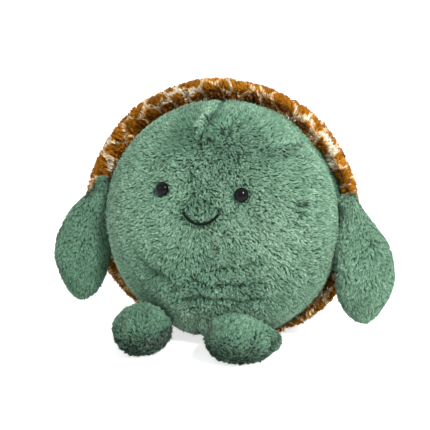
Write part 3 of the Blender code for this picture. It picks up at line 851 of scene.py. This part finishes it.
def limb_grid(origin, along, side, size, rows, turns, inset):
    """A limb's outside from its root to its tip: its places, their normals and measures."""
    third = unit(np.cross(along, side))
    second = unit(np.cross(third, along))
    angle, turn = grid_of(END_ANGLE, pi - END_ANGLE, rows, turns)
    length, root = size["length"], size["root"]
    run = length * (1 - np.cos(angle)) / 2
    swell = np.clip(np.sin(pi * np.clip(run / length, 0, 1) ** size["droop"]), 0, 1)
    half = size["width"] / 2 * swell ** size["taper"]
    half = np.where(run < length / 2, np.maximum(half, root), half)
    half = np.where(run < root, np.sqrt(np.maximum(run * (2 * root - run), 0)), half)
    flat = mix(1, size["thick"] / size["width"], np.clip((run - root) / root, 0, 1))
    bend = size["curl"] * (np.maximum(run - root, 0) / (length - root)) ** 2
    pad = size["pad"] * np.exp(-(((run - 30) / 28) ** 2)) * np.maximum(np.cos(turn), 0)
    centre = origin + (run - root)[..., None] * along + bend[..., None] * second
    points = (
        centre
        + (half * np.cos(turn) + pad)[..., None] * second
        + (half * flat * np.sin(turn))[..., None] * third
    )
    outward = unit(points - centre) + 0.3 * unit(points - origin - along * length * MIDDLE)
    normals = grid_normals(points, outward)
    depth = inset * mix(size["snug"], 1, np.clip(run / SNUG_RUN, 0, 1))
    depth = depth + 0.7 * smooth_noise(points, 45, 5)[..., 0]
    depth = depth + size["tuck"] * np.exp(-(((length - run) / 20) ** 2))
    points = points - normals * depth[..., None]
    return {
        "points": points,
        "normals": grid_normals(points, outward),
        "row": angle,
        "turn": turn,
        "across": run,
        "rise": half * np.cos(turn),
    }


def body_tree():
    """The body's form, for finding the nearest or first place on it."""
    row, turn = grid_of(POLE, LAST_ROW - POLE, 90, 97)
    points = body_form(row, turn)[0]
    return BVHTree.FromPolygons(points.reshape(-1, 3).tolist(), grid_faces(*row.shape).tolist())


def away_from_body(tree, places):
    """How far outside the body's form each place is, negative inside it."""
    gaps = np.empty(len(places))
    middle = Vector(BODY_CENTRE)
    for number, place in enumerate(places):
        place = Vector(place)
        near, _, _, gap = tree.find_nearest(place)
        outside = (place - near).dot(near - middle) > 0
        gaps[number] = gap if outside else -gap
    return gaps


def limb_skins(limb, halves, count, look, seed, tone):
    """The two skins of a limb. Their pile grows as one and is parted at the seam."""
    origin, along, side, size = FRAMES[limb]
    rng = np.random.default_rng(seed)
    grid = limb_grid(origin, along, side, size, rows=44, turns=61, inset=3.0)
    grid["mapx"] = grid["across"] / size["length"]
    grid["mapy"] = 0.5 + grid["rise"] / size["width"]
    grid["printx"], grid["printy"] = grid["across"] + 50 * seed, grid["rise"]
    grid["knitx"], grid["knity"] = grid["across"], grid["turn"] * 26
    spots = scatter(grid, count, rng)
    gap = away_from_body(TREE, spots["points"]) + size["reach"]
    spots["short"] = np.clip(mix(0.3, 1, gap / 9), 0.3, 1)
    spots = chosen(spots, gap > 1.0)
    third = unit(np.cross(along, side))
    middle = origin + along * size["length"] * MIDDLE
    radial = unit(spots["points"] - middle)
    if limb.endswith("flipper"):
        comb = along + 0.4 * radial
    else:
        comb = np.cross(radial, ACROSS) + 0.3 * ACROSS * np.sign(origin[0])
    comb = comb + 0.4 * smooth_noise(spots["points"], 30, seed)
    everything = make_tufts(spots, comb, look, rng)
    tufts_side = np.sign((spots["points"] - origin) @ third)
    for half, sign, extra in halves:
        mine = tufts_side * sign > 0
        plush_piece(
            f"{limb}_{half}_plush",
            grid,
            chosen(spots, mine),
            [values[mine] for values in everything],
            lambda c, sign=sign: (c - origin) @ third * sign > -LIMB_OVERLAP,
            sage,
            limb,
            [f"{limb}_{half}", *extra],
            even_shade(tone),
        )


TREE = body_tree()
FRAMES = limb_frames()
for side, back, seed in (("left", 1, 31), ("right", -1, 32)):
    limb = side + "_flipper"
    halves = (("front", -back, [limb + "_stuffing"]), ("back", back, []))
    look = {**SHORT, "lean": 42, "gather": 0.35}
    limb_skins(limb, halves, FLIPPER_TUFTS, look, seed, FLIPPER_PAINTED_SHADE[side])
for side, seed in (("left", 33), ("right", 34)):
    limb = side + "_foot"
    halves = (("top", 1, [limb + "_stuffing"]), ("sole", -1, []))
    limb_skins(limb, halves, FOOT_TUFTS, TUFTED, seed, FOOT_PAINTED_SHADE[side])


# Eyes and smile
BEAD_SIDES, BEAD_RADIUS, BEAD_HEIGHT = 40, 7.5, 5.2
BEAD_FOOT = ((7.35, -0.5), (6.9, -0.75), (2.0, -0.75), (2.0, -9.0), (0.0, -9.0))
BEAD_POLE = 0.001  # the least radius of a ring of the bead
SMILE_RINGS, SMILE_SIDES = 145, 16
SMILE_RADIUS, SMILE_LIFT = 1.3, 0.3
SMILE_TWIST, TWIST_RATE = 0.16, 1.3
SMILE_TAPER = 0.8
CLEAR_AHEAD = 160  # in front of the whole face


def face_point(across, rise):
    """The point of the body's form at a place of the face, and the way out from it."""
    start = BODY_CENTRE + ACROSS * across + UPWARD * rise + FORWARD * CLEAR_AHEAD
    near, normal, _, _ = TREE.ray_cast(Vector(start), Vector(-FORWARD))
    normal = normal if normal.dot(Vector(FORWARD)) > 0 else -normal
    return near, normal


def ring_angles(sides):
    return np.linspace(0, 2 * pi, sides + 1)[:-1]


def tube_faces(rings, sides):
    """The quads between rings of points, each ring with that many of them."""
    faces = []
    for low in range(0, (rings - 1) * sides, sides):
        high = low + sides
        for number in range(sides):
            after = (number + 1) % sides
            faces.append((low + number, low + after, high + after, high + number))
    return faces


def grained(name, dark, light, grain, rough, bumpy=0.0, stretch=(1, 1, 1), **sockets):
    """A small part's material, with a fine grain in its colour, polish and surface."""
    material, tree, shader = shader_of(name, dark, rough[0], **sockets)
    place = linked(tree, "ShaderNodeTexCoord").outputs["Object"]
    place = linked(tree, "ShaderNodeMapping", {"Vector": place, "Scale": stretch}).outputs[0]
    noise = noise_of(tree, place, grain, 3).outputs[0]
    share = value_map(tree, noise, NOISE_LOW, NOISE_HIGH)
    tree.links.new(colour_mix(tree, share, dark, light), shader.inputs["Base Color"])
    polish = value_map(tree, noise, NOISE_LOW, NOISE_HIGH, *rough)
    tree.links.new(polish, shader.inputs["Roughness"])
    if bumpy:
        inputs = {"Height": noise, "Strength": bumpy, "Distance": 0.0004}
        bumps = linked(tree, "ShaderNodeBump", inputs)
        tree.links.new(bumps.outputs[0], shader.inputs["Normal"])
    return material


# Each eye is a bead: a dome, its turned edge and its shank
gloss = grained(
    "bead_black", (0.0015, 0.0015, 0.002), (0.003, 0.003, 0.004), 900, (0.05, 0.1),
    Specular_IOR_Level=0.14,
)
profile = [(BEAD_RADIUS * sin(a), BEAD_HEIGHT * cos(a)) for a in np.linspace(0, pi / 2, 15)]
profile += BEAD_FOOT
for side, (across, rise) in EYE_PLACES.items():
    near, normal = face_point(across, rise)
    turn_to = normal.to_track_quat("Z", "Y").to_matrix().to_4x4()
    turn_to.translation = near
    points = []
    for radius, height in profile:
        wide = max(radius, BEAD_POLE)
        for angle in ring_angles(BEAD_SIDES):
            place = turn_to @ Vector((wide * cos(angle), wide * sin(angle), height))
            points.append(place * MM)
    bead = add_object(side + "_eye_bead", points, tube_faces(len(profile), BEAD_SIDES))
    bead.data.materials.append(gloss)
    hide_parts(side + "_eye")
    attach(bead, "torso")


def smile_tube():
    """Points and faces of the smile: a thread of two twisted strands, thin at its ends."""
    path = []
    for u, v in smile_line():
        near, normal = face_point(u, v)
        path.append(np.array(near) + np.array(normal) * SMILE_LIFT)
    path = np.array(path)
    fine = np.linspace(0, SMILE_POINTS - 1, SMILE_RINGS)
    coarse = np.arange(SMILE_POINTS)
    path = np.stack([np.interp(fine, coarse, path[:, axis]) for axis in range(3)], 1)
    heading = unit(np.gradient(path, axis=0))
    front = unit(FORWARD - (heading @ FORWARD)[:, None] * heading)
    beside = np.cross(heading, front)
    runs = np.concatenate(([0], np.cumsum(np.linalg.norm(np.diff(path, axis=0), axis=1))))
    angles = ring_angles(SMILE_SIDES)
    twist = 1 + SMILE_TWIST * np.cos(2 * (angles[None] + runs[:, None] * TWIST_RATE))
    ends = np.clip(np.minimum(runs, runs[-1] - runs) / SMILE_TAPER, 0.05, 1) ** 0.5
    radius = SMILE_RADIUS * twist * ends[:, None]
    points = (
        path[:, None]
        + (radius * np.cos(angles))[..., None] * front[:, None]
        + (radius * np.sin(angles))[..., None] * beside[:, None]
    )
    faces = tube_faces(SMILE_RINGS, SMILE_SIDES)
    faces.append(tuple(range(SMILE_SIDES)))
    faces.append(tuple(SMILE_RINGS * SMILE_SIDES - 1 - n for n in range(SMILE_SIDES)))
    return points.reshape(-1, 3), faces


thread = grained(
    "thread_black", (0.002, 0.004, 0.003), (0.007, 0.013, 0.009), 1500, (0.5, 0.75), 0.5, (1, 1, 3),
    Specular_IOR_Level=0.05,
)
points, faces = smile_tube()
smile = add_object("smile_stitching", (points * MM).tolist(), faces)
smile.data.materials.append(thread)
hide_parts("smile_thread")
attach(smile, "torso")

# The washers are hidden, so they keep their solids
nylon = grained("washer_nylon", (0.60, 0.60, 0.57), (0.68, 0.68, 0.66), 600, (0.4, 0.6), 0.2)
for side in ("left", "right"):
    washer = frame["nodes"][side + "_eye_washer"]
    washer.data.materials.clear()
    washer.data.materials.append(nylon)


# Stage
def background_rays(tree):
    """1 for the rays that show the background: the camera's, and those in gloss and glass."""
    light_path = linked(tree, "ShaderNodeLightPath")
    seen = light_path.outputs["Is Camera Ray"]
    for kind in ("Is Glossy Ray", "Is Transmission Ray"):
        seen = worked(tree, "MAXIMUM", {0: seen, 1: light_path.outputs[kind]})
    return seen


FLOOR_GLOW = 0.7
WORLD_LIGHT, WORLD_SEEN = 0.55, 1.0
bpy.ops.mesh.primitive_plane_add(size=12, location=(0, 0, 0))
floor = bpy.context.object
floor.name = "floor"
material, tree, shader = shader_of("floor_white", (0.86, 0.86, 0.86), 0.9)
shader.inputs["Specular IOR Level"].default_value = 0.1
glow = worked(tree, "MULTIPLY", {0: background_rays(tree), 1: FLOOR_GLOW})
shader.inputs["Emission Color"].default_value = (1, 1, 1, 1)
tree.links.new(glow, shader.inputs["Emission Strength"])
floor.data.materials.append(material)

world = bpy.data.worlds.new("studio")
bpy.context.scene.world = world
world.use_nodes = True
tree = world.node_tree
background = tree.nodes["Background"]
strength = value_map(tree, background_rays(tree), 0, 1, WORLD_LIGHT, WORLD_SEEN)
background.inputs["Color"].default_value = (1, 1, 1, 1)
tree.links.new(strength, background.inputs["Strength"])


def lamp(name, place, size, power):
    """A round lamp of that size and power, aimed at the toy."""
    light = bpy.data.lights.new(name, "AREA")
    light.shape = "DISK"
    light.size = size
    light.energy = power
    holder = bpy.data.objects.new(name, light)
    bpy.context.scene.collection.objects.link(holder)
    holder.location = place
    aim = Vector((0, 0, 0.12)) - Vector(place)
    holder.rotation_euler = aim.to_track_quat("-Z", "Y").to_euler()


lamp("key", (1.25, -1.25, 1.9), size=0.55, power=62)
lamp("fill", (-1.6, -1.4, 1.0), size=1.2, power=5)
lamp("back", (-0.5, 1.9, 1.5), size=1.2, power=24)

# Camera, at the photograph's angle
AZIMUTH, ELEVATION, DISTANCE = radians(14), radians(17), 1.8
PIXEL, FRAME_PIXELS = 0.00112, 430  # metres to a pixel of the photograph, and its width
AIM_RIGHT, AIM_UP = -12.5, 110.5  # pixels from the floor under the toy to the frame's middle
SENSOR = 36
back = Vector((sin(AZIMUTH) * cos(ELEVATION), -cos(AZIMUTH) * cos(ELEVATION), sin(ELEVATION)))
right = Vector((cos(AZIMUTH), sin(AZIMUTH), 0))
up = back.cross(right)
aim = right * (AIM_RIGHT * PIXEL) + up * (AIM_UP * PIXEL) + Vector((0, 0.022, 0))
camera = bpy.data.cameras.new("camera")
camera.sensor_width = SENSOR
camera.lens = SENSOR * DISTANCE / (FRAME_PIXELS * PIXEL)
holder = bpy.data.objects.new("camera", camera)
bpy.context.scene.collection.objects.link(holder)
holder.location = aim + back * DISTANCE
holder.rotation_euler = back.to_track_quat("Z", "Y").to_euler()
bpy.context.scene.camera = holder
bpy.context.scene.view_settings.view_transform = "Standard"
